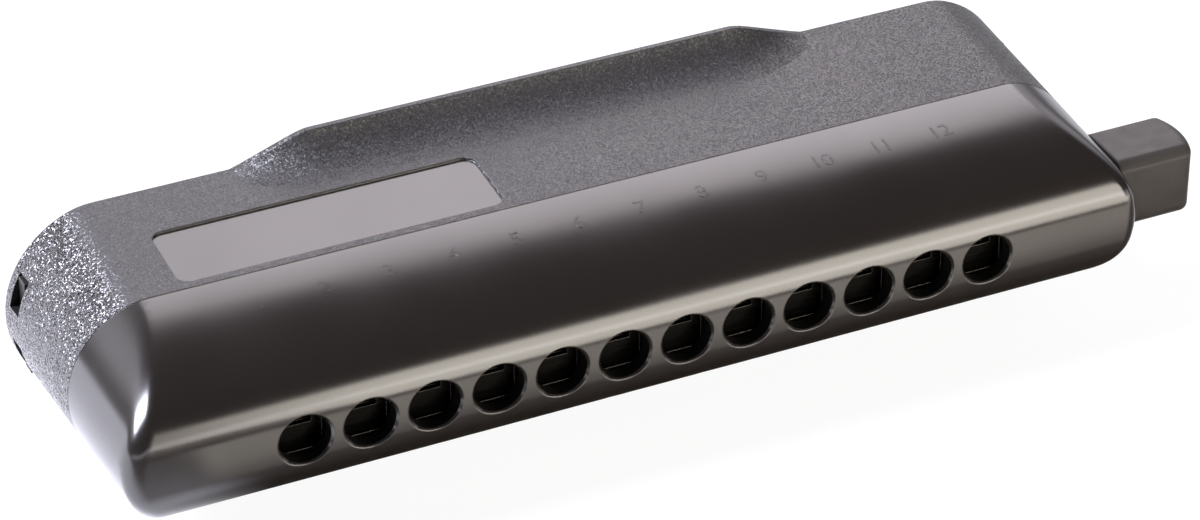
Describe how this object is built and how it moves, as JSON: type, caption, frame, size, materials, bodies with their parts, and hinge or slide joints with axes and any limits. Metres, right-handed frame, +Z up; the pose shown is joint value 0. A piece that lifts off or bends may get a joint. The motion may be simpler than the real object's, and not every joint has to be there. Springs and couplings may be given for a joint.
{
  "type": "chromatic harmonica",
  "caption": "Chromatic harmonica with a one-piece dark casing, a row of round mouth holes, an open flared rear and a sprung slide button.",
  "frame": {"origin": "the middle of the rest land, the flat crest of the lower rear lip that the harmonica is set down on", "axes": "+X along the row of holes towards the slide button, +Y from the mouth face to the open rear, +Z up from the lower lip to the upper one"},
  "size_m": [0.1628, 0.0435, 0.0366],
  "materials": {
    "casing_plastic": "satin gloss in front of the shoulder line, fine spark-eroded grain behind it",
    "button_plastic": "satin",
    "comb_plastic": "matt moulded",
    "guide_steel": "fine ground",
    "spring_steel": "drawn wire",
    "fastener_steel": "bright",
    "stop_rubber": "matt",
    "plate_brass": "rolled",
    "reed_brass": "ground",
    "valve_film": "thin matt film"
  },
  "bodies": {
    "harmonica": {"housing": "casing_plastic", "comb": "comb_plastic", "mouth_plate": "guide_steel", "slide_seal": "guide_steel", "slide_spring": "spring_steel", "plate_screws": "fastener_steel", "slide_bumper": "stop_rubber", "upper_reed_plate": "plate_brass", "lower_reed_plate": "plate_brass", "upper_draw_reeds": "reed_brass", "upper_blow_reeds": "reed_brass", "upper_outer_valves": "valve_film", "upper_inner_valves": "valve_film", "upper_rivets": "reed_brass", "lower_draw_reeds": "reed_brass", "lower_blow_reeds": "reed_brass", "lower_outer_valves": "valve_film", "lower_inner_valves": "valve_film", "lower_rivets": "reed_brass"},
    "slide": {"slide": "guide_steel", "slide_button": "button_plastic", "button_pins": "fastener_steel"}
  },
  "joints": [
    {"name": "slide_press", "type": "slide", "parent": "harmonica", "child": "slide", "axis": [-1, 0, 0], "range_m": [0, 0.00455], "stiffness_N_per_m": 300, "springref_m": -0.005, "deforming": ["slide_spring"]}
  ]
}
